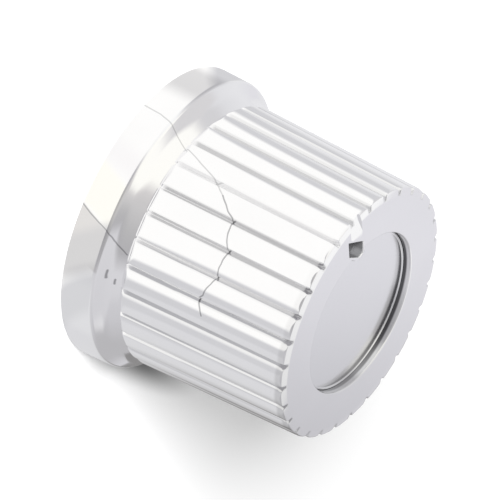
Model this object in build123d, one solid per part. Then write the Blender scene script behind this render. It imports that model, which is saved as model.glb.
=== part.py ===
from build123d import *
import os

# Push-on knob: a fluted, plated moulding with a flared skirt, a disc let into its face
# and a spring clip round its split collar. Millimetres and degrees, +Z towards the face,
# origin at the centre of the skirt's rear edge.

# Outside of the moulding
KNOB_HEIGHT = 17.8
SKIRT_RADIUS = 11.0
SKIRT_BAND = 2.6
SKIRT_DRAFT = 0.04
REAR_EDGE_BEVEL = 0.22
CREASE_ROUND = 0.35
SLOPE_HOLLOW = 0.14
SLOPE_ROUND = 2.4

# Fluting: ribs stand on the body from the skirt's slope up to the face
RIB_COUNT = 30
RIB_PHASE = 7.5
RIB_FOOT = 4.1
RIB_DEPTH = 0.48
RIB_BASE_WIDTH = 1.76
RIB_BACK_WIDTH = 1.46
RIB_BACK_RADIUS = 2.0
RIB_CREST_AT_FOOT = 9.88
RIB_CREST_AT_FACE = 9.55
RIB_ROOT = 0.3
FOOT_BEVEL_HEIGHT = 0.42
FACE_SHOULDER = 0.07
FACE_BEVEL_WIDTH = 0.65
FACE_BEVEL_HEIGHT = 0.12

# Face: a round recess for the disc
RECESS_RADIUS = 6.1
RECESS_DEPTH = 0.7
RECESS_LIP = 0.16

# Pointer notch beside the recess: a skewed pocket, and a shallow channel from it to the rim.
# Corners are (distance from the axis, sideways) with the notch turned to +X.
NOTCH_ANGLE = 146.0
POCKET_CORNERS = (
    (8.1, 0.72),
    (6.6, 0.74),
    (5.62, -0.25),
    (5.62, -0.6),
    (6.0, -0.87),
    (6.75, -0.9),
)
POCKET_DEPTH = 0.85
POCKET_RIM = 0.28
CHANNEL_DEPTH = 0.3
CHANNEL_FALL = 8.0

# Disc glued in the recess
DISC_THICKNESS = 0.6
DISC_RIM_WIDTH = 0.16
DISC_RIM_HEIGHT = 0.14
DISC_CLEARANCE = 0.03

# Inside of the moulding
SKIRT_WALL = 1.6
BODY_WALL = 1.45
CROWN_THICKNESS = 1.9
CAVITY_DRAFT = 0.2
MOUTH_DROP = 0.4

# Split collar that grips the shaft
SHAFT_RADIUS = 3.0
SHAFT_CLEARANCE = 0.02
COLLAR_WALL = 1.6
COLLAR_SETBACK = 4.8
BORE_LEAD_IN = 0.4
BORE_ROOF = 0.6
SLIT_WIDTH = 0.9
SLIT_LENGTH = 6.0

# Stiffening webs between collar and wall
WEB_COUNT = 6
WEB_PHASE = 30.0
WEB_THICKNESS = 1.0
WEB_HEIGHT = 3.1

# Spring clip in its seat round the collar
CLIP_THICKNESS = 0.5
CLIP_WIDTH = 2.4
CLIP_GAP = 50.0
CLIP_LIP = 0.7
CLIP_SEAT_DEPTH = 0.3
CLIP_SEAT_START = 1.4
CLIP_CLEARANCE = 0.02

# Room that a cutter takes past the surface it opens
CUT_PAST = 1.0

# Places that follow from the sizes above
RECESS_FLOOR = KNOB_HEIGHT - RECESS_DEPTH - DISC_THICKNESS
CAVITY_ROOF = RECESS_FLOOR - CROWN_THICKNESS
VALLEY_AT_FOOT = RIB_CREST_AT_FOOT - RIB_DEPTH
VALLEY_AT_FACE = RIB_CREST_AT_FACE - RIB_DEPTH
BORE_RADIUS = SHAFT_RADIUS + SHAFT_CLEARANCE
BORE_END = CAVITY_ROOF - BORE_ROOF
COLLAR_RADIUS = BORE_RADIUS + COLLAR_WALL
CLIP_SEAT_RADIUS = COLLAR_RADIUS - CLIP_SEAT_DEPTH
CLIP_SEAT_BOTTOM = COLLAR_SETBACK + CLIP_SEAT_START
CAVITY_AT_FOOT = VALLEY_AT_FOOT - BODY_WALL


def revolved(points, rounds):
    """A closed half section, turned about Z; rounds maps a corner's number to its radius."""
    section = make_face(Polyline(*points, close=True))
    for number, radius in rounds.items():
        x, z = points[number]
        corner = section.vertices().sort_by_distance((x, z, 0))[0]
        section = fillet(corner, radius)
    return revolve(Plane.XZ * section, Axis.Z)


def core():
    """Skirt, slope and body down to the floor of the grooves, all turned about the axis."""
    crease = (SKIRT_RADIUS - SKIRT_DRAFT, SKIRT_BAND)
    foot = (VALLEY_AT_FOOT, RIB_FOOT)
    run, rise = foot[0] - crease[0], foot[1] - crease[1]
    slope_length = (run**2 + rise**2) ** 0.5
    slope_middle = (
        (crease[0] + foot[0]) / 2 - SLOPE_HOLLOW * rise / slope_length,
        (crease[1] + foot[1]) / 2 + SLOPE_HOLLOW * run / slope_length,
    )
    points = [
        (0, 0),
        (SKIRT_RADIUS - REAR_EDGE_BEVEL, 0),
        (SKIRT_RADIUS, REAR_EDGE_BEVEL),
        crease,
        slope_middle,
        foot,
        (VALLEY_AT_FACE, KNOB_HEIGHT),
        (0, KNOB_HEIGHT),
    ]
    return revolved(points, {3: CREASE_ROUND, 4: SLOPE_ROUND})


def rib_envelope():
    """The turned outline that the ribs are cut to, with a bevel at their foot and at the face."""
    bevel_edge = KNOB_HEIGHT - FACE_BEVEL_HEIGHT
    beyond = RIB_CREST_AT_FOOT + CUT_PAST
    shoulder = RIB_CREST_AT_FACE - FACE_SHOULDER
    points = [
        (VALLEY_AT_FACE - RIB_ROOT - CUT_PAST, RIB_FOOT),
        (VALLEY_AT_FOOT, RIB_FOOT),
        (RIB_CREST_AT_FOOT, RIB_FOOT + FOOT_BEVEL_HEIGHT),
        (beyond, RIB_FOOT + FOOT_BEVEL_HEIGHT + CUT_PAST),
        (beyond, bevel_edge - FACE_SHOULDER - CUT_PAST),
        (RIB_CREST_AT_FACE, bevel_edge - FACE_SHOULDER),
        (shoulder, bevel_edge),
        (RIB_CREST_AT_FACE - FACE_BEVEL_WIDTH, KNOB_HEIGHT),
        (VALLEY_AT_FACE - RIB_ROOT - CUT_PAST, KNOB_HEIGHT),
    ]
    return revolved(points, {})


def ribs():
    """One rib with a rounded back and steep flanks, leaning in with the draft, copied round the axis."""
    half_back, half_base = RIB_BACK_WIDTH / 2, RIB_BASE_WIDTH / 2
    shoulder = RIB_CREST_AT_FOOT - RIB_BACK_RADIUS + (RIB_BACK_RADIUS**2 - half_back**2) ** 0.5
    inside = VALLEY_AT_FOOT - RIB_ROOT
    back = ThreePointArc((shoulder, -half_back), (RIB_CREST_AT_FOOT, 0), (shoulder, half_back))
    sides = Polyline((shoulder, half_back), (VALLEY_AT_FOOT, half_base), (inside, half_base),
                     (inside, -half_base), (VALLEY_AT_FOOT, -half_base), (shoulder, -half_back))
    lean = (RIB_CREST_AT_FACE - RIB_CREST_AT_FOOT) / (KNOB_HEIGHT - RIB_FOOT)
    bar = extrude(Pos(0, 0, RIB_FOOT) * make_face(back + sides), KNOB_HEIGHT - RIB_FOOT, dir=(lean, 0, 1))
    rib = bar & rib_envelope()
    return [Rot(0, 0, RIB_PHASE + 360 / RIB_COUNT * n) * rib for n in range(RIB_COUNT)]


def pocket_block(grow, bottom, top):
    """An upright block over the pocket's plan, grown all round, between two heights."""
    plan = make_face(Polyline(*POCKET_CORNERS, close=True))
    if grow:
        plan = offset(plan, grow)
    return extrude(Pos(0, 0, bottom) * plan, top - bottom)


def notch_cutter():
    """The pocket, and the channel whose floor falls away from it to the rim."""
    top = KNOB_HEIGHT + CUT_PAST
    (start, left), (near, right) = POCKET_CORNERS[0], POCKET_CORNERS[-1]
    beyond = SKIRT_RADIUS + CUT_PAST
    reach = 2 * beyond
    strip = make_face(Polyline((near, right), (start, left), (beyond, left), (beyond, right), close=True))
    sides = extrude(Pos(0, 0, KNOB_HEIGHT - CUT_PAST) * strip, 2 * CUT_PAST)
    tilt = Pos(start, 0, KNOB_HEIGHT - CHANNEL_DEPTH) * Rot(0, CHANNEL_FALL, 0)
    above_floor = tilt * Pos(0, 0, reach / 2) * Box(reach, reach, reach)
    pocket = pocket_block(0, KNOB_HEIGHT - POCKET_DEPTH, top)
    return Rot(0, 0, NOTCH_ANGLE) * (pocket + (sides & above_floor))


def pocket_rim():
    """The part of the pocket's wall that stands inside the recess."""
    wall = pocket_block(POCKET_RIM, RECESS_FLOOR, KNOB_HEIGHT)
    inside = Pos(0, 0, KNOB_HEIGHT / 2) * Cylinder(RECESS_RADIUS + RECESS_LIP, KNOB_HEIGHT)
    return Rot(0, 0, NOTCH_ANGLE) * (wall & inside)


def recess_cutter():
    """The seat for the disc, with its upper edge bevelled into the face."""
    top = KNOB_HEIGHT + CUT_PAST
    points = [
        (0, RECESS_FLOOR),
        (RECESS_RADIUS, RECESS_FLOOR),
        (RECESS_RADIUS, KNOB_HEIGHT - RECESS_LIP),
        (RECESS_RADIUS + RECESS_LIP + CUT_PAST, top),
        (0, top),
    ]
    return revolved(points, {})


def cavity():
    """The hollow inside, following the skirt and the body at an even wall."""
    mouth = SKIRT_RADIUS - SKIRT_WALL
    points = [
        (0, -CUT_PAST),
        (mouth, -CUT_PAST),
        (mouth, SKIRT_BAND - MOUTH_DROP),
        (CAVITY_AT_FOOT, RIB_FOOT - MOUTH_DROP),
        (CAVITY_AT_FOOT - CAVITY_DRAFT, CAVITY_ROOF),
        (0, CAVITY_ROOF),
    ]
    return revolved(points, {})


def collar():
    """The split collar: bore with a lead-in, one slit across it and a seat for the clip."""
    height = CAVITY_ROOF + CROWN_THICKNESS / 2 - COLLAR_SETBACK
    post = Pos(0, 0, COLLAR_SETBACK + height / 2) * Cylinder(COLLAR_RADIUS, height)
    seat = Pos(0, 0, CLIP_SEAT_BOTTOM + CLIP_WIDTH / 2) * (
        Cylinder(COLLAR_RADIUS + CUT_PAST, CLIP_WIDTH + 2 * CLIP_CLEARANCE)
        - Cylinder(CLIP_SEAT_RADIUS, CLIP_WIDTH + 2 * CLIP_CLEARANCE)
    )
    slit = Pos(0, 0, COLLAR_SETBACK + SLIT_LENGTH / 2) * Box(
        2 * COLLAR_RADIUS + CUT_PAST, SLIT_WIDTH, SLIT_LENGTH
    )
    return post - seat - slit


def bore_cutter():
    """The blind bore for the shaft and the lead-in cone at its mouth."""
    points = [
        (0, COLLAR_SETBACK - CUT_PAST),
        (BORE_RADIUS + BORE_LEAD_IN, COLLAR_SETBACK - CUT_PAST),
        (BORE_RADIUS + BORE_LEAD_IN, COLLAR_SETBACK),
        (BORE_RADIUS, COLLAR_SETBACK + BORE_LEAD_IN),
        (BORE_RADIUS, BORE_END),
        (0, BORE_END),
    ]
    return revolve(Plane.XZ * make_face(Polyline(*points, close=True)), Axis.Z)


def webs():
    """Flat webs under the crown that tie the collar to the wall."""
    inner = (BORE_RADIUS + COLLAR_RADIUS) / 2
    outer = CAVITY_AT_FOOT + BODY_WALL / 3
    height = WEB_HEIGHT + CROWN_THICKNESS / 2
    bottom = CAVITY_ROOF - WEB_HEIGHT
    web = Pos((inner + outer) / 2, 0, bottom + height / 2) * Box(outer - inner, WEB_THICKNESS, height)
    return [Rot(0, 0, WEB_PHASE + 360 / WEB_COUNT * n) * web for n in range(WEB_COUNT)]


def knob_body():
    """The one-piece moulding."""
    shell = core() + ribs() - cavity()
    return shell + collar() + webs() - bore_cutter() - recess_cutter() + pocket_rim() - notch_cutter()


def face_disc():
    """A thin disc with a turned-up edge, cut out round the pocket's rim, on the recess floor."""
    radius = RECESS_RADIUS - DISC_CLEARANCE
    front = RECESS_FLOOR + DISC_THICKNESS
    points = [
        (0, RECESS_FLOOR),
        (radius, RECESS_FLOOR),
        (radius, front + DISC_RIM_HEIGHT),
        (radius - DISC_RIM_WIDTH, front),
        (0, front),
    ]
    room = pocket_block(POCKET_RIM + DISC_CLEARANCE, RECESS_FLOOR - CUT_PAST, KNOB_HEIGHT)
    return revolved(points, {}) - Rot(0, 0, NOTCH_ANGLE) * room


def shaft_spring():
    """A band of spring steel bent to an open ring, its two ends turned outwards."""
    inner = CLIP_SEAT_RADIUS + CLIP_CLEARANCE
    middle = inner + CLIP_THICKNESS / 2
    half_gap = CLIP_GAP / 2
    sweep_angle = 360 - CLIP_GAP
    band = CenterArc((0, 0), middle, 90 + half_gap, sweep_angle)
    lips = [JernArc(band @ end, tangent, CLIP_LIP, -turn) for end, tangent, turn in (
        (1, band % 1, 90),
        (0, band % 0 * -1, -90),
    )]
    ribbon = trace(band + lips, CLIP_THICKNESS)
    return extrude(Pos(0, 0, CLIP_SEAT_BOTTOM) * ribbon, CLIP_WIDTH)


PIECES = {
    "knob_body": knob_body,
    "face_disc": face_disc,
    "shaft_spring": shaft_spring,
}


def main():
    os.makedirs("parts", exist_ok=True)
    for name, make in PIECES.items():
        piece = make()
        export_step(piece, f"parts/{name}.step")
        print(name, "solids", len(piece.solids()), "volume", round(piece.volume, 2))


main()
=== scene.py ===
"""Looks of the push-on knob: its plated moulding, the disc in its face and the studio round it."""

from __future__ import annotations

import logging
import math
from dataclasses import dataclass
from enum import Enum
from typing import Sequence

import bpy
import numpy as np
from mathutils import Matrix, Vector

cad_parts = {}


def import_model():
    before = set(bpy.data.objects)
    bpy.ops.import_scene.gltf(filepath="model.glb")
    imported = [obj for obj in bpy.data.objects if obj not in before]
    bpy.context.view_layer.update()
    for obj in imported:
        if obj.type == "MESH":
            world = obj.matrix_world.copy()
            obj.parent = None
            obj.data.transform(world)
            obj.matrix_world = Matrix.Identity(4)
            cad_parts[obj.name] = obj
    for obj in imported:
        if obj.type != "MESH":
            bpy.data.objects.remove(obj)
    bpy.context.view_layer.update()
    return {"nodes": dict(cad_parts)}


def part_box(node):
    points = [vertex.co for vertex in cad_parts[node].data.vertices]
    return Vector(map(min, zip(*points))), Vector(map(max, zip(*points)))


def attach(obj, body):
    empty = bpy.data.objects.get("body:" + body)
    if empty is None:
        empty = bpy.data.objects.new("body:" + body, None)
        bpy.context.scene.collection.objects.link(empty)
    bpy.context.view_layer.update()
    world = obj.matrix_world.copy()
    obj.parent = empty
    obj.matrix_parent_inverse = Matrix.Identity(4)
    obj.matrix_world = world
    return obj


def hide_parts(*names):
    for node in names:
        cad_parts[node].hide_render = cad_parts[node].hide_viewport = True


MM = 0.001
FULL_TURN = math.tau
Colour = tuple[float, float, float]
Triple = tuple[float, float, float]
Point = tuple[float, float]
Stop = tuple[float, Colour]
LOG = logging.getLogger("knob")

# The way across the face to the knob's lower side, and the millimetres over which its painted shade comes in
LOWER_SIDE = (0.18, -0.9)
LOWER_SPAN = (-6.0, 12.0)


def grey(level: float, tint: Colour = (1.0, 1.0, 1.0)) -> tuple[float, float, float, float]:
    """A colour of one level, times a tint, with full alpha."""
    return (level * tint[0], level * tint[1], level * tint[2], 1.0)


class Wire:
    """A shader socket that adds Math nodes when Python's operators are used on it."""

    def __init__(self, tree: bpy.types.NodeTree, socket: bpy.types.NodeSocket) -> None:
        """Wraps one output socket of a node tree."""
        self.tree = tree
        self.socket = socket

    def math(self, operation: str, *others: Number) -> Wire:
        """Runs this value and the others through one Math node.

        Args:
            operation: the Math node's operation.
            others: the second and third inputs, numbers or wires.

        Returns:
            The node's result.
        """
        node = self.tree.nodes.new("ShaderNodeMath")
        node.operation = operation
        for socket, value in zip(node.inputs, (self, *others)):
            feed(self.tree, socket, value)
        return Wire(self.tree, node.outputs[0])

    def __add__(self, other: Number) -> Wire:
        """Sum."""
        return self.math("ADD", other)

    def __sub__(self, other: Number) -> Wire:
        """Difference."""
        return self.math("SUBTRACT", other)

    def __rsub__(self, other: Number) -> Wire:
        """Difference, reflected."""
        return (self * -1.0) + other

    def __mul__(self, other: Number) -> Wire:
        """Product."""
        return self.math("MULTIPLY", other)

    def __truediv__(self, other: Number) -> Wire:
        """Quotient."""
        return self.math("DIVIDE", other)

    def step(self, low: float, high: float) -> Wire:
        """A smooth rise from 0 at low to 1 at high, or a fall where high is the lower one."""
        node = self.tree.nodes.new("ShaderNodeMapRange")
        node.interpolation_type = "SMOOTHSTEP"
        falling = high < low
        for name, value in {
            "Value": self,
            "From Min": min(low, high),
            "From Max": max(low, high),
            "To Min": 1.0 if falling else 0.0,
            "To Max": 0.0 if falling else 1.0,
        }.items():
            feed(self.tree, node.inputs[name], value)
        return Wire(self.tree, node.outputs["Result"])


Number = float | Wire


def feed(tree: bpy.types.NodeTree, socket: bpy.types.NodeSocket, value: object) -> None:
    """Links a wire to a socket, or sets the socket to a constant."""
    if isinstance(value, Wire):
        tree.links.new(value.socket, socket)
    else:
        socket.default_value = value


class Shader:
    """A node tree under construction, with one method for every kind of node."""

    def __init__(self, tree: bpy.types.NodeTree) -> None:
        """Starts from an empty tree."""
        self.tree = tree
        tree.nodes.clear()

    def node(
        self, kind: str, settings: dict | None = None, inputs: dict | None = None, output: int | str = 0
    ) -> Wire:
        """Adds a node.

        Args:
            kind: the node's type name without its ShaderNode prefix.
            settings: attributes of the node, set first; stops fills a colour ramp.
            inputs: values or wires for its sockets, by name or number.
            output: the output socket that is handed back.

        Returns:
            That output as a wire.
        """
        node = self.tree.nodes.new("ShaderNode" + kind)
        for name, value in (settings or {}).items():
            if name == "stops":
                self._set_stops(node.color_ramp, value)
            else:
                setattr(node, name, value)
        for name, value in (inputs or {}).items():
            feed(self.tree, node.inputs[name], value)
        return Wire(self.tree, node.outputs[output])

    @staticmethod
    def _set_stops(ramp: bpy.types.ColorRamp, stops: Sequence[tuple[float, tuple]]) -> None:
        """Gives a colour ramp its stops, each a place and a colour."""
        while len(ramp.elements) < len(stops):
            ramp.elements.new(0.5)
        for element, (place, colour) in zip(ramp.elements, stops):
            element.position = place
            element.color = colour

    def mix(self, factor: Number, first: object, second: object) -> Wire:
        """A colour between two others, by a factor."""
        return self.node("Mix", {"data_type": "RGBA"}, {"Factor": factor, 6: first, 7: second}, output=2)

    def position(self) -> Wire:
        """The place on the piece, in the row frame."""
        return self.node("TexCoord", output="Object")

    def split(self, vector: Wire) -> tuple[Wire, Wire, Wire]:
        """The three parts of a vector."""
        node = self.tree.nodes.new("ShaderNodeSeparateXYZ")
        feed(self.tree, node.inputs[0], vector)
        x, y, z = (Wire(self.tree, socket) for socket in node.outputs)
        return x, y, z

    def noise(self, place: Wire, scale: float, detail: float) -> Wire:
        """Noise from 0 to 1 at a place."""
        return self.node("TexNoise", inputs={"Vector": place, "Scale": scale, "Detail": detail})

    def metal(self, colour: Wire, roughness: Wire, metallic: Number = 1.0, bump: Wire | None = None) -> None:
        """Ends a material in one principled surface, with a bump where there is one."""
        inputs = {"Base Color": colour, "Metallic": metallic, "Roughness": roughness}
        if bump is not None:
            inputs["Normal"] = bump
        self.finish(self.node("BsdfPrincipled", inputs=inputs))

    def finish(self, surface: Wire, kind: str = "OutputMaterial") -> None:
        """Links the finished surface to the tree's output."""
        output = self.tree.nodes.new("ShaderNode" + kind)
        feed(self.tree, output.inputs["Surface"], surface)


def new_material(name: str) -> tuple[bpy.types.Material, Shader]:
    """An empty material and the shader that fills it."""
    material = bpy.data.materials.new(name)
    material.use_nodes = True
    return material, Shader(material.node_tree)


def lower_side(x: Wire, y: Wire) -> Wire:
    """How far a place on the face lies towards the knob's lower side, from 0 to 1."""
    return ((x * LOWER_SIDE[0] + y * LOWER_SIDE[1]) / MM).step(*LOWER_SPAN)


class Cut(Enum):
    """What a Boolean does with its tool."""

    REMOVE = "DIFFERENCE"
    JOIN = "UNION"


class Bench:
    """Blender's modelling operators, used as by hand on one piece at a time."""

    @staticmethod
    def clear() -> None:
        """Leaves edit mode and deselects everything."""
        if bpy.context.object and bpy.context.object.mode != "OBJECT":
            bpy.ops.object.mode_set(mode="OBJECT")
        bpy.ops.object.select_all(action="DESELECT")

    @classmethod
    def pick(cls, piece: bpy.types.Object) -> None:
        """Makes one piece the only selected and the active one."""
        cls.clear()
        piece.select_set(True)
        bpy.context.view_layer.objects.active = piece

    @classmethod
    def turned(cls, name: str, corners: Sequence[Corner], steps: int) -> bpy.types.Object:
        """Turns a half section about Z.

        Args:
            name: the new piece's name.
            corners: corners of the half section, from the axis to the axis.
            steps: how many steps the turn has.

        Returns:
            The closed solid.
        """
        cls.clear()
        bpy.ops.mesh.primitive_plane_add(size=MM)
        piece = bpy.context.object
        piece.name = piece.data.name = name
        bpy.ops.object.mode_set(mode="EDIT")
        bpy.ops.mesh.select_mode(type="VERT")
        bpy.ops.mesh.merge(type="CENTER")
        here = Vector((0.0, 0.0, 0.0))
        for number, (radius, height) in enumerate(outline_through(corners)):
            there = Vector((radius, 0.0, height)) * MM
            if number == 0:
                bpy.ops.transform.translate(value=there - here)
            else:
                bpy.ops.mesh.extrude_region_move(TRANSFORM_OT_translate={"value": there - here})
            here = there
        bpy.ops.mesh.select_all(action="SELECT")
        bpy.ops.mesh.spin(steps=steps, angle=FULL_TURN, center=(0, 0, 0), axis=(0, 0, 1))
        cls.close_up()
        return piece

    @staticmethod
    def close_up() -> None:
        """In edit mode: merges doubles, turns the faces outwards and goes back to object mode."""
        bpy.ops.mesh.select_all(action="SELECT")
        bpy.ops.mesh.remove_doubles(threshold=MM * 0.0005)
        bpy.ops.mesh.normals_make_consistent(inside=False)
        bpy.ops.object.mode_set(mode="OBJECT")

    @classmethod
    def lofted(cls, name: str, rings: Sequence[Sequence[Triple]]) -> bpy.types.Object:
        """Skins a stack of closed rings, with flat ends.

        Args:
            name: the new piece's name.
            rings: points of each ring in millimetres, the same number in each.

        Returns:
            The closed solid.
        """
        cls.clear()
        around = len(rings[0])
        bpy.ops.mesh.primitive_grid_add(x_subdivisions=around, y_subdivisions=len(rings) - 1)
        piece = bpy.context.object
        piece.name = piece.data.name = name
        points = np.array([[*ring, ring[0]] for ring in rings]) * MM
        piece.data.vertices.foreach_set("co", points.ravel())
        bpy.ops.object.mode_set(mode="EDIT")
        bpy.ops.mesh.select_all(action="SELECT")
        bpy.ops.mesh.remove_doubles(threshold=MM * 0.0005)
        bpy.ops.mesh.select_all(action="DESELECT")
        bpy.ops.mesh.select_mode(type="EDGE")
        bpy.ops.mesh.select_non_manifold()
        bpy.ops.mesh.edge_face_add()
        cls.close_up()
        return piece

    @classmethod
    def block(cls, name: str, size: Triple, middle: Triple, turn: float, bevel: float) -> bpy.types.Object:
        """A block with bevelled edges, turned about Z.

        Args:
            name: the new piece's name.
            size: its three sides in millimetres.
            middle: its middle in millimetres, before the turn.
            turn: degrees about Z.
            bevel: the bevel's width in millimetres.

        Returns:
            The block.
        """
        cls.clear()
        bpy.ops.mesh.primitive_cube_add(size=1.0)
        piece = bpy.context.object
        piece.name = piece.data.name = name
        place = Matrix.Rotation(math.radians(turn), 4, "Z") @ Matrix.Translation(Vector(middle) * MM)
        piece.data.transform(place @ Matrix.Diagonal((*(Vector(size) * MM), 1.0)))
        bpy.ops.object.mode_set(mode="EDIT")
        bpy.ops.mesh.select_all(action="SELECT")
        bpy.ops.mesh.bevel(offset=bevel * MM, segments=2)
        cls.close_up()
        return piece

    @classmethod
    def combine(cls, piece: bpy.types.Object, tool: bpy.types.Object, cut: Cut) -> None:
        """Cuts a tool from a piece or joins it on, and deletes the tool."""
        modifier = piece.modifiers.new("combine", "BOOLEAN")
        modifier.operation = cut.value
        modifier.solver = "MANIFOLD"
        modifier.object = tool
        cls.pick(piece)
        bpy.ops.object.modifier_apply(modifier=modifier.name)
        bpy.data.objects.remove(tool)

    @classmethod
    def smooth(cls, piece: bpy.types.Object, crease_angle: float) -> None:
        """Shades a piece smooth up to an angle, with its large faces kept flat.

        Args:
            piece: the finished mesh.
            crease_angle: edges sharper than this, in degrees, stay sharp.
        """
        cls.pick(piece)
        bpy.ops.object.shade_smooth_by_angle(angle=math.radians(crease_angle))
        modifier = piece.modifiers.new("weights", "WEIGHTED_NORMAL")
        modifier.keep_sharp = True
        bpy.ops.object.modifier_apply(modifier=modifier.name)

    @staticmethod
    def dress(piece: bpy.types.Object, material: bpy.types.Material) -> None:
        """Gives a piece one material."""
        piece.data.materials.clear()
        piece.data.materials.append(material)


@dataclass(frozen=True)
class Corner:
    """One corner of a half section, in millimetres, with the round that it has."""

    radius: float
    height: float
    rounding: float = 0.0
    steps: int = 5


def outline_through(corners: Sequence[Corner]) -> list[Point]:
    """The points of a half section, with arcs at the corners that are rounded.

    Args:
        corners: the section's corners in order.

    Returns:
        Radius and height of each point.
    """
    points: list[Point] = []
    for number, corner in enumerate(corners):
        here = Vector((corner.radius, corner.height))
        if corner.rounding <= 0.0:
            points.append((here.x, here.y))
            continue
        before = corners[number - 1]
        after = corners[number + 1]
        back = (Vector((before.radius, before.height)) - here).normalized()
        ahead = (Vector((after.radius, after.height)) - here).normalized()
        half = math.acos(max(-1.0, min(1.0, back.dot(ahead)))) / 2.0
        reach = corner.rounding / math.tan(half)
        centre = here + (back + ahead).normalized() * (corner.rounding / math.sin(half))
        start = here + back * reach - centre
        sweep = start.angle_signed(here + ahead * reach - centre)
        for step in range(corner.steps + 1):
            turned = start.copy()
            turned.rotate(Matrix.Rotation(-sweep * step / corner.steps, 2))
            points.append((centre.x + turned.x, centre.y + turned.y))
    return points


def divided(start: Point, end: Point, parts: int) -> list[Corner]:
    """Corners at even steps between two points, without its two ends."""
    return [
        Corner(start[0] + (end[0] - start[0]) * n / parts, start[1] + (end[1] - start[1]) * n / parts)
        for n in range(1, parts)
    ]


def quarter(steps: int) -> list[Point]:
    """A quarter turn in even steps: each angle's sine, and one less its cosine."""
    turns = [math.pi / 2.0 * step / steps for step in range(steps + 1)]
    return [(math.sin(turn), 1.0 - math.cos(turn)) for turn in turns]


def blend_low(first: np.ndarray, second: np.ndarray, width: float) -> np.ndarray:
    """The lower of two fields, with the corner between them rounded over a width."""
    overlap = np.maximum(width - np.abs(first - second), 0.0)
    return np.minimum(first, second) - overlap**2 / (4.0 * width)


@dataclass(frozen=True)
class Notch:
    """The pointer notch: a skewed pocket by the recess and a channel from it to the rim.

    Corners are distance from the axis and sideways, with the notch turned to +X.
    """

    angle: float = 146.0
    corners: tuple[Corner, ...] = (
        Corner(8.1, 0.72),
        Corner(6.6, 0.74, 0.12, 4),
        Corner(5.6, -0.3, 0.3, 6),
        Corner(5.68, -0.84, 0.3, 6),
        Corner(6.75, -0.9, 0.2, 4),
        Corner(7.4, -0.1),
    )
    depth: float = 0.85
    rim: float = 0.28
    channel_depth: float = 0.03
    channel_fall: float = 10.0
    channel_end: float = 12.0
    channel_inset: float = 0.3
    channel_overlap: float = 0.02
    lip: float = 0.09

    def ring(self, height: float, grow: float) -> list[Triple]:
        """The pocket's outline at one height, grown sideways by a distance."""
        plan = [Vector(point) for point in outline_through(self.corners)]
        points = []
        for number, here in enumerate(plan):
            along = plan[(number + 1) % len(plan)] - plan[number - 1]
            out = Vector((along.y, -along.x)).normalized()
            points.append(self._placed(here + out * grow, height))
        return points

    def channel_ring(self, top: float, above: float) -> list[Triple]:
        """The channel's outline, following its falling floor at a height above it."""
        start, near = self.corners[0], self.corners[4]
        side = start.height - self.channel_inset
        plan = [
            (near.radius - self.channel_overlap, near.height),
            (start.radius, side),
            (self.channel_end, side),
            (self.channel_end, near.height),
        ]
        fall = math.tan(math.radians(self.channel_fall))
        floor = top - self.channel_depth + above
        return [self._placed(Vector(point), floor - (point[0] - start.radius) * fall) for point in plan]

    def _placed(self, point: Vector, height: float) -> Triple:
        """Turns a point of the plan to the notch's place."""
        turned = Matrix.Rotation(math.radians(self.angle), 2) @ point
        return (turned.x, turned.y, height)


@dataclass(frozen=True)
class ReflectionPatch:
    """A painted reflection on the skirt's band, a lighter or darker tone: degrees round the axis, tint, and
    millimetres up.

    Its ends are soft over some degrees and lean by degrees for each millimetre up.
    """

    turn: Point
    tint: Colour
    soft: float
    lean: float = 0.0
    height: Point = (-1.0, 2.6)
    height_soft: float = 0.1


@dataclass(frozen=True)
class Crack:
    """A hairline crack on the moulding.

    Its points are degrees round the axis and millimetres up, and its radius turns degrees to millimetres.
    """

    points: tuple[Point, ...]
    width: float
    radius: float
    depth: float
    waver: float = 0.18


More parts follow.
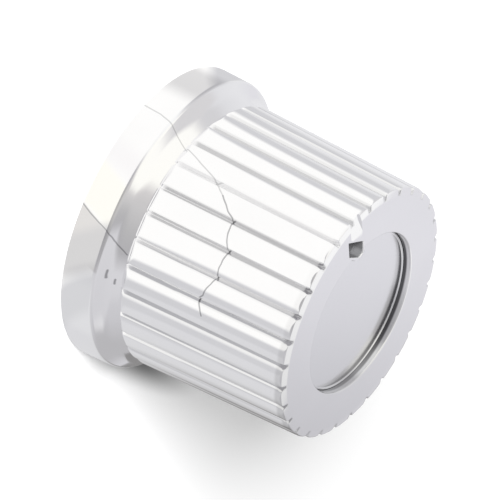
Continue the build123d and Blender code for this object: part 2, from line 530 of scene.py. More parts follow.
@dataclass(frozen=True)
class PlatedFinish:
    """Bright plating over moulded plastic, with painted shade in its grooves, painted reflections on the
    skirt's band and hairline cracks.

    The recess's wall and the pocket are painted dark as shade, and the face has painted shade towards its
    lower side. A mask's pair of numbers is where it begins and where it is full: heights, radii, or drops
    below the face.
    """

    top: float
    colour: Colour = (0.95, 0.948, 0.955)
    roughness: float = 0.08
    roughness_spread: float = 0.05
    crack_colour: Colour = (0.2, 0.2, 0.21)
    # Colour of the painted shade between the ribs
    groove_shade_colour: Colour = (0.55, 0.55, 0.56)
    # Colour of the painted shade on the recess's wall
    recess_shade_colour: Colour = (0.13, 0.13, 0.135)
    # Colour of the pocket's inside, painted dark as shade
    pocket_shade_colour: Colour = (0.12, 0.12, 0.125)
    rib_pitch: float = 12.0
    valley_turn: float = 1.5
    groove_width: Point = (1.9, 0.9)
    groove_shade_depths: tuple[Point, ...] = (
        (0.0, 0.4), (120.0, 0.3), (148.0, 0.45), (153.0, 0.1), (162.0, 0.2), (167.0, 0.4),
        (176.0, 0.4), (200.0, 0.2), (207.0, 0.32), (255.0, 0.32), (360.0, 0.4),
    )
    groove_height: Point = (4.2, 4.6)
    groove_radius: Point = (8.9, 9.0)
    face_height: Point = (17.0, 17.3)
    face_painted_shade: float = 0.3
    recess_wall: Point = (6.02, 6.2)
    recess_soft: float = 0.05
    recess_top_drop: Point = (0.26, 0.42)
    recess_end_drop: Point = (0.8, 0.75)
    recess_pale_side: float = -5.5
    recess_least: float = 0.55
    pocket_top_drop: Point = (0.07, 0.13)
    pocket_end_drop: Point = (1.2, 1.1)
    pocket_near: Point = (5.4, 5.5)
    pocket_low_side: Point = (-1.1, -1.0)
    pocket_high_side: Point = (0.95, 0.85)
    pocket_far: Point = (0.9, 7.62)
    pocket_far_soft: float = 0.06
    pocket_roughness: float = 0.5
    mottle_bump: float = 0.35
    crack_bump: float = 0.8
    bump_distance: float = 0.02
    notch: Notch = Notch()
    cracks: tuple[Crack, ...] = ()
    skirt_reflections: tuple[ReflectionPatch, ...] = ()

    def material(self) -> bpy.types.Material:
        """Builds the material."""
        material, shader = new_material("plated_body")
        place = shader.position()
        x, y, z = shader.split(place)
        angle = y.math("ARCTAN2", x) * (180.0 / math.pi)
        turn = angle + angle.math("LESS_THAN", 0.0) * 360.0
        height = z / MM
        radius = (x * x + y * y).math("SQRT") / MM
        mottle = shader.noise(place, scale=260.0, detail=3.0)
        colour = shader.mix(mottle, grey(0.975, self.colour), grey(1.02, self.colour))
        # Painted reflections: lighter and darker tones on the skirt's band
        for patch in self.skirt_reflections:
            colour = shader.mix(self._reflection_mask(patch, turn, height), colour, grey(1.0, patch.tint))
        # Painted shade: the face is darker towards the knob's lower side
        lower_painted_shade = lower_side(x, y) * height.step(*self.face_height) * self.face_painted_shade
        colour = shader.mix(lower_painted_shade, colour, grey(0.0))
        # Painted shade: the grooves between the ribs are darkened, more on some sides of the knob
        groove_shade = self._groove_shade_mask(shader, turn, height, radius)
        colour = shader.mix(groove_shade, colour, grey(1.0, self.groove_shade_colour))
        # Painted shade: the recess's wall is darkened
        colour = shader.mix(self._recess_shade_mask(y, height, radius), colour, grey(1.0, self.recess_shade_colour))
        pocket = self._pocket_mask(angle, height, radius)
        # Painted shade: the pocket's inside is coloured dark, and also made rough and not metal
        colour = shader.mix(pocket, colour, grey(1.0, self.pocket_shade_colour))
        surface = mottle * self.mottle_bump
        for crack in self.cracks:
            distance = self._distance(shader, crack, turn, height, place)
            line = distance.step(crack.width, crack.width * 0.25) * crack.depth
            colour = shader.mix(line, colour, grey(1.0, self.crack_colour))
            surface = surface - line * self.crack_bump
        bump = shader.node(
            "Bump",
            inputs={"Height": surface, "Strength": 0.25, "Distance": self.bump_distance * MM},
            output="Normal",
        )
        roughness = mottle * self.roughness_spread + self.roughness + pocket * self.pocket_roughness
        shader.metal(colour, roughness, 1.0 - pocket, bump)
        return material

    @staticmethod
    def _reflection_mask(patch: ReflectionPatch, turn: Wire, height: Wire) -> Wire:
        """1 inside a painted reflection patch, with sides that lean with height and soft edges."""
        slanted = turn - height * patch.lean
        low, high = patch.turn
        bottom, top = patch.height
        soft = patch.height_soft
        around = slanted.step(low - patch.soft, low + patch.soft)
        around = around * slanted.step(high + patch.soft, high - patch.soft)
        return around * height.step(bottom - soft, bottom + soft) * height.step(top + soft, top - soft)

    def _groove_shade_mask(self, shader: Shader, turn: Wire, height: Wire, radius: Wire) -> Wire:
        """How much painted shade a place has: grooves between the ribs, each side of the knob with its own
        depth.
        """
        away = (turn - self.valley_turn).math("PINGPONG", self.rib_pitch / 2.0)
        stops = [(place / 360.0, grey(level)) for place, level in self.groove_shade_depths]
        depth = shader.node("ValToRGB", {"stops": stops}, {"Fac": turn / 360.0}, output="Color")
        ribs = height.step(*self.groove_height) * radius.step(*self.groove_radius)
        return away.step(*self.groove_width) * ribs * depth

    def _recess_shade_mask(self, y: Wire, height: Wire, radius: Wire) -> Wire:
        """Painted shade on the wall of the recess, lighter on the knob's lower side."""
        inner, outer = self.recess_wall
        drop = self.top - height
        below = drop.step(*self.recess_top_drop) * drop.step(*self.recess_end_drop)
        least = self.recess_least
        shaded = y.step(self.recess_pale_side * MM, 0.0) * (1.0 - least) + least
        wall = radius.step(inner - self.recess_soft, inner) * radius.step(outer + self.recess_soft, outer)
        return below * shaded * wall

    def _pocket_mask(self, angle: Wire, height: Wire, radius: Wire) -> Wire:
        """The inside of the pocket in the face, whose far side is a slanted line, where the painted shade
        goes.
        """
        toward = (angle - self.notch.angle) * (math.pi / 180.0)
        ahead = radius * toward.math("COSINE")
        aside = radius * toward.math("SINE")
        drop = self.top - height
        below = drop.step(*self.pocket_top_drop) * drop.step(*self.pocket_end_drop)
        across = aside.step(*self.pocket_low_side) * aside.step(*self.pocket_high_side)
        slant, far = self.pocket_far
        edge = (aside * slant + far) - ahead
        return below * across * ahead.step(*self.pocket_near) * edge.step(-self.pocket_far_soft, 0.0)

    @staticmethod
    def _distance(shader: Shader, crack: Crack, turn: Wire, height: Wire, place: Wire) -> Wire:
        """Distance to a crack along the surface, in millimetres.

        Args:
            shader: the material's tree.
            crack: the crack.
            turn: degrees round the axis.
            height: millimetres up the axis.
            place: the place on the piece, for the crack's own waver.

        Returns:
            The distance to its nearest point.
        """
        arc = crack.radius * math.pi / 180.0
        waver = shader.noise(place, scale=1400.0, detail=1.0) - 0.5
        across = turn * arc
        up = height + waver * crack.waver
        nearest: Wire | None = None
        for (start_turn, start_up), (end_turn, end_up) in zip(crack.points, crack.points[1:]):
            run, rise = (end_turn - start_turn) * arc, end_up - start_up
            from_x = across - start_turn * arc
            from_y = up - start_up
            share = (from_x * run + from_y * rise) / (run * run + rise * rise)
            along = share.math("MAXIMUM", 0.0).math("MINIMUM", 1.0)
            off_x, off_y = from_x - along * run, from_y - along * rise
            distance = (off_x * off_x + off_y * off_y).math("SQRT")
            nearest = distance if nearest is None else nearest.math("MINIMUM", distance)
        return nearest


@dataclass(frozen=True)
class DiscFinish:
    """The smooth bright metal of the disc in the face, with painted shade towards the knob's lower side."""

    colour: Colour = (0.93, 0.93, 0.94)
    roughness: float = 0.14
    roughness_spread: float = 0.04
    lower_painted_shade: float = 0.32

    def material(self) -> bpy.types.Material:
        """Builds the material."""
        material, shader = new_material("disc_metal")
        place = shader.position()
        mottle = shader.noise(place, scale=180.0, detail=2.0)
        x, y, _ = shader.split(place)
        even = shader.mix(mottle, grey(0.97, self.colour), grey(1.0, self.colour))
        # Painted shade: the disc is darker towards the knob's lower side
        colour = shader.mix(lower_side(x, y) * self.lower_painted_shade, even, grey(0.0))
        shader.metal(colour, mottle * self.roughness_spread + self.roughness)
        return material


@dataclass(frozen=True)
class SpringFinish:
    """Tempered spring steel with a fine grain along the band."""

    colour: Colour = (0.46, 0.46, 0.48)
    roughness: float = 0.32
    roughness_spread: float = 0.15

    def material(self) -> bpy.types.Material:
        """Builds the material."""
        material, shader = new_material("spring_steel")
        drawn = shader.node("Mapping", inputs={"Vector": shader.position(), "Scale": (0.1, 0.1, 1.0)})
        grain = shader.noise(drawn, scale=9000.0, detail=3.0)
        colour = shader.mix(grain, grey(0.8, self.colour), grey(1.15, self.colour))
        shader.metal(colour, grain * self.roughness_spread + self.roughness)
        return material


@dataclass
class Moulding:
    """The plated moulding: skirt, fluted body, face with its seat and notch, and split collar."""

    height: float
    skirt_radius: float
    turn_steps: int = 960
    inner_steps: int = 120

    skirt_band: float = 2.6
    skirt_draft: float = 0.04
    rear_round: float = 0.22
    crease_round: float = 0.45
    slope_hollow: float = 0.14
    slope_round: float = 2.4

    rib_count: int = 30
    rib_phase: float = 7.5
    rib_foot: float = 4.1
    rib_depth: float = 0.48
    rib_base_width: float = 1.88
    rib_back_width: float = 1.66
    rib_back_radius: float = 1.85
    tip_length: float = 0.8
    tip_narrowing: float = 0.14
    tip_depth: float = 0.1
    crest_at_foot: float = 9.88
    crest_at_face: float = 9.55
    foot_end: float = 0.55
    face_bevel_width: float = 0.65
    face_bevel_height: float = 0.12
    face_shoulder: float = 0.07
    valley_round: float = 0.02
    edge_round: float = 0.03

    recess_radius: float = 6.1
    recess_floor: float = 16.5
    recess_lip: float = 0.12
    notch: Notch = Notch()

    skirt_wall: float = 1.6
    body_wall: float = 1.45
    crown: float = 1.9
    cavity_draft: float = 0.2
    mouth_drop: float = 0.4
    bore_radius: float = 3.02
    bore_roof: float = 0.6
    collar_wall: float = 1.6
    collar_setback: float = 4.8
    collar_lead: float = 0.4
    slit_width: float = 0.9
    slit_length: float = 6.0
    clip_seat_depth: float = 0.3
    clip_seat_start: float = 1.4
    clip_width: float = 2.4
    web_count: int = 6
    web_phase: float = 30.0
    web_thickness: float = 1.0
    web_height: float = 3.1
    cut_past: float = 1.0
    step_shares: tuple[float, ...] = (0.0, 0.35, 0.93, 1.0)
    step_places: tuple[float, ...] = (0.0, 0.58, 0.98, 1.0)

    def build(self) -> bpy.types.Object:
        """Models the whole moulding.

        Returns:
            The finished mesh, in place.
        """
        body = Bench.turned("plated_body", self._outer_corners(), self.turn_steps)
        self._press_flutes(body)
        Bench.combine(body, self._cavity(), Cut.REMOVE)
        Bench.combine(body, self._collar(), Cut.JOIN)
        for web in self._webs():
            Bench.combine(body, web, Cut.JOIN)
        Bench.combine(body, self._bore(), Cut.REMOVE)
        Bench.combine(body, self._slit(), Cut.REMOVE)
        Bench.combine(body, self._pocket_rim(), Cut.JOIN)
        Bench.combine(body, self._pocket(), Cut.REMOVE)
        Bench.combine(body, self._channel(), Cut.REMOVE)
        Bench.smooth(body, crease_angle=34.0)
        return body

    @property
    def cavity_roof(self) -> float:
        """Height of the roof of the hollow inside."""
        return self.recess_floor - self.crown

    @property
    def cavity_at_foot(self) -> float:
        """Radius of the hollow at the foot of the ribs."""
        return self.crest_at_foot - self.rib_depth - self.body_wall

    @property
    def collar_radius(self) -> float:
        """Outer radius of the collar."""
        return self.bore_radius + self.collar_wall

    def _outer_corners(self) -> list[Corner]:
        """Half section of the outside, over the crest of the ribs, with the seat for the disc."""
        foot = (self.crest_at_foot - self.rib_depth, self.rib_foot)
        crease = (self.skirt_radius - self.skirt_draft, self.skirt_band)
        run, rise = foot[0] - crease[0], foot[1] - crease[1]
        length = math.hypot(run, rise)
        hollow = (
            (foot[0] + crease[0]) / 2.0 - self.slope_hollow * rise / length,
            (foot[1] + crease[1]) / 2.0 + self.slope_hollow * run / length,
        )
        bevel_start = self.crest_at_face - self.face_bevel_width
        bevel_end = self.height - self.face_bevel_height
        crest_top = (self.crest_at_face, bevel_end - 2.0 * self.face_shoulder)
        crest_foot = (self.crest_at_foot, self.rib_foot + self.foot_end)
        bevel_inner = (bevel_start + 0.1, self.height - 0.02)
        bevel_outer = (self.crest_at_face - 0.2, bevel_end + 0.03)
        tip_start = (self.crest_at_face + 0.03, self.height - self.tip_length)
        rib_end = [
            Corner(foot[0] + self.rib_depth * out, foot[1] + self.foot_end * up) for out, up in quarter(11)
        ]
        corners = [
            Corner(0.0, self.recess_floor),
            Corner(self.recess_radius, self.recess_floor, 0.06, 3),
            Corner(self.recess_radius, self.height, self.recess_lip, 6),
            *divided((self.recess_radius + self.recess_lip, self.height), (bevel_start, self.height), 3),
            Corner(bevel_start, self.height, 0.9, 3),
            *divided(bevel_inner, bevel_outer, 4),
            Corner(self.crest_at_face - self.face_shoulder, bevel_end, 0.12, 4),
            Corner(*crest_top),
            *divided(crest_top, tip_start, 5),
            Corner(*tip_start),
            *divided(tip_start, crest_foot, 7),
            *rib_end[::-1],
            Corner(*hollow, self.slope_round, 6),
            Corner(*crease, self.crease_round, 7),
            Corner(self.skirt_radius, self.rear_round + 0.1),
            Corner(self.skirt_radius, 0.0, self.rear_round, 5),
            Corner(self.skirt_radius - self.skirt_wall - 0.3, 0.0),
            Corner(0.0, 0.0),
        ]
        return corners

    def _press_flutes(self, body: bpy.types.Object) -> None:
        """Moves the outside in between the ribs, each rib with a round back."""
        count = len(body.data.vertices)
        points = np.empty(count * 3)
        body.data.vertices.foreach_get("co", points)
        points = points.reshape(-1, 3) / MM
        radius = np.hypot(points[:, 0], points[:, 1])
        turn = np.degrees(np.arctan2(points[:, 1], points[:, 0]))
        share = (points[:, 2] - self.rib_foot) / (self.height - self.rib_foot)
        crest = self.crest_at_foot + (self.crest_at_face - self.crest_at_foot) * share
        pitch = 360.0 / self.rib_count
        off = (turn - self.rib_phase + pitch / 2.0) % pitch - pitch / 2.0
        fluted = (points[:, 2] > self.rib_foot + 0.001) & (radius > self.recess_radius + 1.0)
        even = np.abs(off) / (pitch / 2.0)
        packed = np.interp(even, self.step_shares, self.step_places) * np.sign(off) * pitch / 2.0
        turn = np.radians(turn + np.where(fluted, packed - off, 0.0))
        off = np.radians(packed)
        tip = np.clip((points[:, 2] - self.height + self.tip_length) / self.tip_length, 0.0, 1.0) ** 2
        back = self._rib_back(crest, off, 1.0 - self.tip_narrowing * tip)
        valley = crest - self.rib_depth - self.tip_depth * tip
        # The higher of back and valley, as the lower of their negatives
        flute = -blend_low(-back, -valley, self.valley_round)
        pressed = blend_low(radius, flute, self.edge_round)
        radius = np.where(fluted, pressed, radius)
        points[:, 0] = radius * np.cos(turn)
        points[:, 1] = radius * np.sin(turn)
        body.data.vertices.foreach_set("co", (points * MM).ravel())
        body.data.update()

    def _rib_back(self, crest: np.ndarray, off: np.ndarray, narrowed: np.ndarray) -> np.ndarray:
        """Radius of a rib's surface: a round back, with a steep flank at each side.

        Args:
            crest: radius of the rib's crest.
            off: angle from the crest in radians.
            narrowed: share of the full width that the rib has, which falls at its tip.

        Returns:
            The radius of the rib's own surface.
        """
        half_back, half_base = narrowed * self.rib_back_width / 2.0, narrowed * self.rib_base_width / 2.0
        drop = self.rib_back_radius - np.sqrt(self.rib_back_radius**2 - half_back**2)
        steepness = (self.rib_depth - drop) / (half_base - half_back)
        centre = crest - self.rib_back_radius
        reach = self.rib_back_radius**2 - (centre * np.sin(off)) ** 2
        back = centre * np.cos(off) + np.sqrt(np.maximum(reach, 0.0))
        flank = (crest - drop + steepness * half_back) / (np.cos(off) + steepness * np.sin(np.abs(off)))
        return blend_low(back, flank, self.edge_round)

    def _cavity(self) -> bpy.types.Object:
        """The hollow inside, following skirt and body at an even wall."""
        mouth = self.skirt_radius - self.skirt_wall
        corners = [
            Corner(0.0, -self.cut_past),
            Corner(mouth + 0.25, -self.cut_past),
            Corner(mouth + 0.25, 0.0),
            Corner(mouth, 0.25),
            Corner(mouth, self.skirt_band - self.mouth_drop, 0.6, 5),
            Corner(self.cavity_at_foot, self.rib_foot - self.mouth_drop, 0.6, 5),
            Corner(self.cavity_at_foot - self.cavity_draft, self.cavity_roof, 0.4, 5),
            Corner(0.0, self.cavity_roof),
        ]
        return Bench.turned("cavity", corners, self.inner_steps)

    def _collar(self) -> bpy.types.Object:
        """The collar round the bore, with its seat for the clip."""
        seat = self.collar_setback + self.clip_seat_start
        floor = self.collar_radius - self.clip_seat_depth
        corners = [
            Corner(0.0, self.collar_setback),
            Corner(self.collar_radius, self.collar_setback, 0.2, 3),
            Corner(self.collar_radius, seat),
            Corner(floor, seat),
            Corner(floor, seat + self.clip_width),
            Corner(self.collar_radius, seat + self.clip_width),
            Corner(self.collar_radius, self.cavity_roof + self.crown / 2.0),
            Corner(0.0, self.cavity_roof + self.crown / 2.0),
        ]
        return Bench.turned("collar", corners, self.inner_steps)

    def _bore(self) -> bpy.types.Object:
        """The blind bore for the shaft, with its lead-in."""
        corners = [
            Corner(0.0, self.collar_setback - self.cut_past),
            Corner(self.bore_radius + self.collar_lead, self.collar_setback - self.cut_past),
            Corner(self.bore_radius + self.collar_lead, self.collar_setback),
            Corner(self.bore_radius, self.collar_setback + self.collar_lead),
            Corner(self.bore_radius, self.cavity_roof - self.bore_roof),
            Corner(0.0, self.cavity_roof - self.bore_roof),
        ]
        return Bench.turned("bore", corners, self.inner_steps)

    def _slit(self) -> bpy.types.Object:
        """The cutter for the slit across the collar."""
        return Bench.block(
            "slit",
            (2.0 * self.collar_radius + self.cut_past, self.slit_width, self.slit_length + self.cut_past),
            (0.0, 0.0, self.collar_setback + (self.slit_length - self.cut_past) / 2.0),
            0.0,
            0.08,
        )

    def _webs(self) -> list[bpy.types.Object]:
        """The webs between collar and wall, each a copy turned to its place."""
        inner = (self.bore_radius + self.collar_radius) / 2.0
        outer = self.cavity_at_foot + self.body_wall / 3.0
        height = self.web_height + self.crown / 2.0
        middle = ((inner + outer) / 2.0, 0.0, self.cavity_roof - self.web_height + height / 2.0)
        size = (outer - inner, self.web_thickness, height)
        pitch = 360.0 / self.web_count
        return [
            Bench.block(f"web_{number}", size, middle, self.web_phase + pitch * number, 0.12)
            for number in range(self.web_count)
        ]

    def _pocket(self) -> bpy.types.Object:
        """The cutter for the pocket, with a soft floor and a flared rim."""
        lip = self.notch.lip
        floor = self.height - self.notch.depth
        levels = [(floor, -0.12), (floor + 0.03, -0.04), (floor + 0.12, 0.0)]
        levels += [(self.height - lip + lip * up, lip * out) for up, out in quarter(6)]
        levels.append((self.height + self.cut_past, lip + 0.01))
        return Bench.lofted("pocket", [self.notch.ring(height, grow) for height, grow in levels])

    def _pocket_rim(self) -> bpy.types.Object:
        """The part of the pocket's wall that stands inside the recess, with a soft top."""
        top, rim = self.height, self.notch.rim
        levels = [(self.recess_floor - 0.3, rim), (top - 0.12, rim)]
        levels += [(top - 0.05, rim - 0.03), (top - 0.01, rim - 0.11)]
        return Bench.lofted("pocket_rim", [self.notch.ring(height, grow) for height, grow in levels])

    def _channel(self) -> bpy.types.Object:
        """The cutter for the channel from the pocket to the rim."""
        levels = (0.0, self.notch.channel_depth + 3.0 * self.cut_past)
        return Bench.lofted("channel", [self.notch.channel_ring(self.height, above) for above in levels])


@dataclass
class FaceDisc:
    """The disc in the face, with its turned-up edge and the cut-out for the pocket's rim."""

    radius: float
    bottom: float
    top: float
    turn_steps: int = 240
    rim_width: float = 0.16
    rim_height: float = 0.14
    clearance: float = 0.03
    cut_past: float = 1.0
    notch: Notch = Notch()

    def build(self) -> bpy.types.Object:
        """Turns the disc and cuts it out.

        Returns:
            The finished mesh, in place.
        """
        front = self.top - self.rim_height
        corners = [
            Corner(0.0, self.bottom),
            Corner(self.radius, self.bottom, 0.05, 2),
            Corner(self.radius, self.top, 0.02, 2),
            Corner(self.radius - self.rim_width / 2.0, front, 0.12, 6),
            Corner(self.radius * 0.6, front),
            Corner(0.0, front),
        ]
        disc = Bench.turned("inlay_disc", corners, self.turn_steps)
        grow = self.notch.rim + self.clearance
        ends = (self.bottom - self.cut_past, self.top + self.cut_past)
        room = Bench.lofted("room", [self.notch.ring(height, grow) for height in ends])
        Bench.combine(disc, room, Cut.REMOVE)
        Bench.smooth(disc, crease_angle=40.0)
        return disc


@dataclass
class Studio:
    """Floor, lamp, sky and camera.

    Camera and the painted shadow patch are in millimetres, the floor's radius and the lamp in metres. A stop
    is degrees from +X towards +Y, and the tone that the plating mirrors there.
    """

    aim_height: float = 17.69
    floor_radius: float = 1.5
    camera_distance: float = 1000.0
    view_width: float = 34.66
    elevation: float = 24.15
    roll: float = 63.73
    look_right: float = -7.6
    look_up: float = 4.34
    sky_edge: Point = (30.0, 37.0)
    fill: float = 0.5
    shadow_patch_middle: Point = (10.0, -10.0)
    shadow_patch_size: Point = (12.0, 2.0)
    shadow_patch_strength: float = 0.85
    shadow_patch_tone: float = 0.1
    floor_tone: float = 0.8
    floor_glow: float = 0.16
    lamp_turn: float = 170.0
    lamp_rise: float = 26.0
    lamp_distance: float = 0.6
    lamp_size: float = 0.22
    lamp_energy: float = 8.0
    # Tones the floor glows with only in reflections; the dark stops from -38 to -18 are a painted shadow of
    # the knob
    mirrored_floor: tuple[Stop, ...] = (
        (-144, (1.05, 1.045, 1.03)), (-134, (0.66, 0.66, 0.68)),
        (-118, (0.66, 0.66, 0.68)), (-110, (0.73, 0.73, 0.75)), (-80, (0.72, 0.72, 0.735)),
        (-64, (0.63, 0.63, 0.64)), (-50, (0.52, 0.515, 0.52)), (-38, (0.27, 0.265, 0.265)),
        (-18, (0.27, 0.265, 0.265)), (-2, (0.5, 0.5, 0.51)), (8, (0.78, 0.78, 0.8)),
        (50, (0.85, 0.85, 0.87)), (66, (0.79, 0.79, 0.8)), (76, (0.67, 0.67, 0.69)),
        (93, (0.67, 0.67, 0.69)), (103, (1.05, 1.045, 1.03)),
    )
    low_sky: tuple[Stop, ...] = (
        (-180, (0.46, 0.455, 0.47)), (-150, (0.52, 0.515, 0.53)), (-120, (0.66, 0.655, 0.68)),
        (-70, (0.6, 0.595, 0.62)), (-46, (0.5, 0.495, 0.51)), (-30, (0.5, 0.495, 0.51)),
        (-14, (0.77, 0.765, 0.8)), (0, (0.775, 0.77, 0.81)), (24, (0.78, 0.775, 0.81)),
        (36, (0.82, 0.82, 0.84)), (58, (0.76, 0.76, 0.78)), (70, (0.68, 0.675, 0.69)),
        (94, (0.68, 0.675, 0.69)), (108, (1.0, 1.0, 1.0)), (142, (1.0, 1.0, 0.98)),
        (162, (0.52, 0.515, 0.53)), (180, (0.46, 0.455, 0.47)),
    )
    high_sky: tuple[Stop, ...] = (
        (-180, (0.62, 0.61, 0.61)), (-150, (0.5, 0.495, 0.5)), (-128, (0.45, 0.445, 0.46)),
        (-110, (0.7, 0.695, 0.72)), (-60, (0.66, 0.655, 0.68)),
        (-40, (0.98, 0.98, 0.98)), (30, (0.98, 0.98, 0.98)),
        (42, (0.7, 0.69, 0.7)), (80, (0.7, 0.69, 0.7)), (95, (1.05, 1.04, 1.0)),
        (152, (1.05, 1.04, 0.99)), (166, (0.66, 0.64, 0.64)), (180, (0.6, 0.59, 0.59)),
    )

    def build(self) -> None:
        """Sets up everything round the knob."""
        self._camera()
        self._floor()
        self._lamp()
        self._sky()
        bpy.context.scene.view_settings.view_transform = "Standard"

    def _camera(self) -> None:
        """A long lens from the side of the ribs, a little above, rolled as the knob lies."""
        rise = math.radians(self.elevation)
        back = Vector((-math.cos(rise), 0.0, math.sin(rise)))
        level = Vector((0.0, 0.0, 1.0)).cross(back).normalized()
        upright = back.cross(level)
        turn = math.radians(self.roll)
        right = level * math.cos(turn) * -1.0 + upright * math.sin(turn)
        up = back.cross(right)
        middle = Vector((0.0, 0.0, self.aim_height * MM))
        aim = middle + (right * self.look_right + up * self.look_up) * MM
        data = bpy.data.cameras.new("camera")
        data.sensor_width = 36.0
        data.lens = data.sensor_width * self.camera_distance / self.view_width
        data.clip_start = 0.01
        data.clip_end = 10.0
        camera = bpy.data.objects.new("camera", data)
        bpy.context.scene.collection.objects.link(camera)
        pose = Matrix((right, up, back)).transposed().to_4x4()
        pose.translation = aim + back * self.camera_distance * MM
        camera.matrix_world = pose
        bpy.context.scene.camera = camera

    def _floor(self) -> None:
        """A pale floor with the knob's shadow, a painted shadow patch beside it, and tones that it glows
        with only in the plating's reflections.
        """
        Bench.clear()
        bpy.ops.mesh.primitive_circle_add(radius=self.floor_radius, vertices=96, fill_type="NGON")
        floor = bpy.context.object
        floor.name = floor.data.name = "floor"
        material, shader = new_material("floor")
        x, y, _ = shader.split(shader.position())
        turn = y.math("ARCTAN2", x) / FULL_TURN + 0.5
        mirrored = self._round_ramp(shader, turn, self.mirrored_floor)
        rays = {name: shader.node("LightPath", output=name) for name in ("Is Camera Ray", "Is Glossy Ray")}
        # Painted shadow: a dark patch on the floor beside the knob, which also dims the floor's glow
        middle, size = self.shadow_patch_middle, self.shadow_patch_size
        off_x, off_y = (x / MM - middle[0]) / size[0], (y / MM - middle[1]) / size[1]
        painted_shadow = (off_x * off_x + off_y * off_y).math("SQRT").step(1.0, 0.0) * self.shadow_patch_strength
        tone = shader.mix(painted_shadow, grey(self.floor_tone), grey(self.shadow_patch_tone))
        lit = shader.node("BsdfDiffuse", inputs={"Color": tone})
        strength = rays["Is Camera Ray"] * (1.0 - painted_shadow) * self.floor_glow
        glow = shader.node("Emission", inputs={"Color": grey(1.0), "Strength": strength})
        seen = shader.node("AddShader", inputs={0: lit, 1: glow})
        reflected = shader.node("Emission", inputs={"Color": mirrored, "Strength": 1.0})
        shader.finish(shader.node("MixShader", inputs={0: rays["Is Glossy Ray"], 1: seen, 2: reflected}))
        Bench.dress(floor, material)

    def _lamp(self) -> None:
        """One soft lamp close to the camera's direction, left out of reflections."""
        data = bpy.data.lights.new("key", "AREA")
        data.shape = "DISK"
        data.size = self.lamp_size
        data.energy = self.lamp_energy
        lamp = bpy.data.objects.new("key", data)
        lamp.visible_glossy = False
        bpy.context.scene.collection.objects.link(lamp)
        turn, rise = math.radians(self.lamp_turn), math.radians(self.lamp_rise)
        toward = Vector((math.cos(turn) * math.cos(rise), math.sin(turn) * math.cos(rise), math.sin(rise)))
        facing = toward.to_track_quat("Z", "Y").to_matrix().to_4x4()
        lamp.matrix_world = Matrix.Translation(toward * self.lamp_distance) @ facing

    def _sky(self) -> None:
        """White for the camera, a soft grey fill, and light and dark parts for the plating."""
        world = bpy.data.worlds.new("sky")
        bpy.context.scene.world = world
        world.use_nodes = True
        shader = Shader(world.node_tree)
        x, y, z = shader.split(shader.node("TexCoord", output="Generated"))
        share = y.math("ARCTAN2", x) / FULL_TURN + 0.5
        low = self._round_ramp(shader, share, self.low_sky)
        high = self._round_ramp(shader, share, self.high_sky)
        edge = [math.sin(math.radians(rise)) for rise in self.sky_edge]
        mirrored = shader.mix(z.step(*edge), low, high)
        rays = {name: shader.node("LightPath", output=name) for name in ("Is Camera Ray", "Is Glossy Ray")}
        fill = shader.mix(rays["Is Glossy Ray"], grey(self.fill), mirrored)
        colour = shader.mix(rays["Is Camera Ray"], fill, grey(1.0))
        shader.finish(shader.node("Background", inputs={"Color": colour, "Strength": 1.0}), "OutputWorld")

    @staticmethod
    def _round_ramp(shader: Shader, share: Wire, stops: Sequence[Stop]) -> Wire:
        """A colour for each direction round the knob, from stops in degrees."""
        spread = [((turn + 180.0) / 360.0, grey(1.0, colour)) for turn, colour in stops]
        return shader.node("ValToRGB", {"stops": spread}, {"Fac": share}, output="Color")


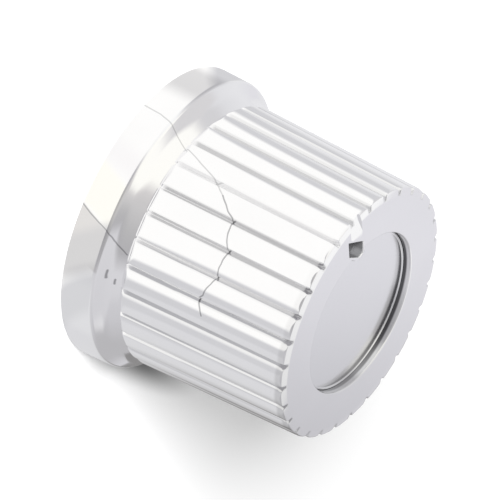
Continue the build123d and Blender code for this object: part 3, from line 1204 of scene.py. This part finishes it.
# Cracks and marks, from the skirt's edge up the ribs
CRACKS = (
    Crack(
        points=(
            (144.5, -0.3), (145.2, 0.25), (145.5, 1.5), (147.0, 2.75), (149.2, 3.75), (150.8, 4.6),
            (153.3, 5.75), (156.3, 7.25), (161.7, 8.6),
        ),
        width=0.075,
        radius=9.9,
        depth=0.35,
    ),
    Crack(
        points=(
            (161.7, 8.6), (166.7, 9.6), (168.3, 10.1), (170.0, 10.25), (174.7, 10.4), (178.3, 10.6),
            (182.0, 11.0), (188.3, 10.9), (193.3, 10.95), (199.2, 10.6), (202.5, 10.45), (205.0, 10.1),
            (208.3, 10.4), (211.3, 10.7),
        ),
        width=0.08,
        radius=9.7,
        depth=0.65,
    ),
    Crack(
        points=(
            (188.0, -0.3), (188.8, 0.1), (191.0, 1.0), (192.0, 1.5), (194.0, 2.5), (195.0, 2.7),
            (198.0, 3.2), (200.0, 3.6), (201.7, 3.9),
        ),
        width=0.075,
        radius=10.6,
        depth=0.6,
    ),
    Crack(points=((209.7, 3.1), (213.0, 3.1)), width=0.11, radius=10.5, depth=0.7),
    Crack(points=((213.7, 3.6), (215.7, 3.6)), width=0.11, radius=10.2, depth=0.7),
)

# Painted reflections: lighter and darker tones round the skirt's band
SKIRT_REFLECTIONS = (
    ReflectionPatch(turn=(111.0, 132.0), tint=(0.68, 0.675, 0.69), soft=5.0),
    ReflectionPatch(turn=(216.0, 242.0), tint=(1.0, 1.0, 1.0), soft=4.0),
    ReflectionPatch(turn=(161.0, 170.0), tint=(0.915, 0.905, 0.92), soft=4.0, lean=1.5),
    ReflectionPatch(turn=(171.0, 187.8), tint=(0.96, 0.95, 0.905), soft=2.0, lean=2.2),
    ReflectionPatch(turn=(188.3, 205.0), tint=(0.73, 0.715, 0.71), soft=0.7, lean=2.4),
    ReflectionPatch(turn=(201.0, 219.0), tint=(0.645, 0.64, 0.65), soft=3.5, lean=-3.8),
)


def main() -> None:
    """Loads the frame, builds the pieces round it and lights them."""
    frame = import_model()
    _, body_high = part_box("knob_body")
    disc_low, disc_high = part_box("face_disc")
    Studio().build()

    moulding = Moulding(
        height=body_high.z / MM, skirt_radius=body_high.x / MM, recess_floor=disc_low.z / MM
    ).build()
    finish = PlatedFinish(top=body_high.z / MM, cracks=CRACKS, skirt_reflections=SKIRT_REFLECTIONS)
    Bench.dress(moulding, finish.material())
    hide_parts("knob_body")
    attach(moulding, "root")
    LOG.info("%s: %d faces", moulding.name, len(moulding.data.polygons))

    disc = FaceDisc(radius=disc_high.x / MM, bottom=disc_low.z / MM, top=disc_high.z / MM).build()
    Bench.dress(disc, DiscFinish().material())
    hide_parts("face_disc")
    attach(disc, "root")
    LOG.info("%s: %d faces", disc.name, len(disc.data.polygons))

    Bench.dress(frame["nodes"]["shaft_spring"], SpringFinish().material())
    LOG.info("shaft_spring: packed solid with its own finish")


if __name__ == "__main__":
    logging.basicConfig(level=logging.INFO, format="%(name)s %(message)s")
    main()
